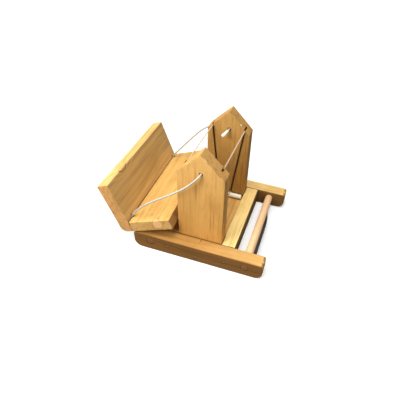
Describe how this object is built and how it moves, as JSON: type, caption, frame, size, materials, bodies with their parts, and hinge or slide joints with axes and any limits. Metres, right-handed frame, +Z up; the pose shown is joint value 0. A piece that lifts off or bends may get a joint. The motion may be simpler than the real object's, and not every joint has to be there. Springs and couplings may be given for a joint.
{
  "type": "hopper bird feeder",
  "caption": "Small wooden hopper bird feeder on a plank base with perches, clear seed panes and a gable roof tethered on a cord, lifted off and laid beside the hopper.",
  "frame": {"origin": "centre of the base's underside, on the floor board's lower face", "axes": "+X along the base planks to the perch side that shows its band, +Y across the planks to the far gable, +Z up"},
  "size_m": [0.276, 0.2131, 0.191],
  "materials": {
    "pine": "planed, unfinished pine, golden brown, satin",
    "pale_pine": "planed, unfinished pine, pale honey, satin",
    "dowel_wood": "smooth turned hardwood, pale pinkish, unfinished",
    "clear_acrylic": "clear, polished, with sawn edges",
    "white_plastic": "smooth, cream white",
    "cord_nylon": "twisted synthetic cord, silver grey",
    "black_rubber": "matt, smooth",
    "steel": "dull nail heads"
  },
  "bodies": {
    "feeder": {"near_plank": "pine", "far_plank": "pine", "left_cross_rail": "pale_pine", "right_cross_rail": "pale_pine", "floor_board": "pine", "left_perch": "dowel_wood", "right_perch": "dowel_wood", "right_perch_band": "black_rubber", "near_gable": "pine", "far_gable": "pine", "near_pane_rod": "white_plastic", "far_pane_rod": "white_plastic", "near_cord_stop": "white_plastic", "far_cord_stop": "white_plastic", "near_cord": "cord_nylon", "far_cord": "cord_nylon", "near_nail_house": "steel", "near_nail_right_rail": "steel", "near_nail_left_rail": "steel", "far_nail_house": "steel", "far_nail_right_rail": "steel", "far_nail_left_rail": "steel"},
    "roof": {"roof_back_board": "pale_pine", "roof_seat_board": "pale_pine", "ridge_cord": "cord_nylon", "roof_nail_1": "steel", "roof_nail_2": "steel", "roof_nail_3": "steel"},
    "left_pane": {"left_pane": "clear_acrylic"},
    "right_pane": {"right_pane": "clear_acrylic"}
  },
  "joints": [
    {"name": "roof_hinge", "type": "hinge", "parent": "feeder", "child": "roof", "pos_m": [-0.0441, 0, 0.10903], "axis": [0.0256, -0.9995, 0.0163], "range_deg": [-155, 0], "deforming": ["near_cord", "far_cord"]},
    {"name": "left_pane_slide", "type": "slide", "parent": "feeder", "child": "left_pane", "axis": [-0.1231, 0, 0.9924], "range_m": [0, 0.008]},
    {"name": "right_pane_slide", "type": "slide", "parent": "feeder", "child": "right_pane", "axis": [0.1231, 0, 0.9924], "range_m": [0, 0.008]}
  ]
}
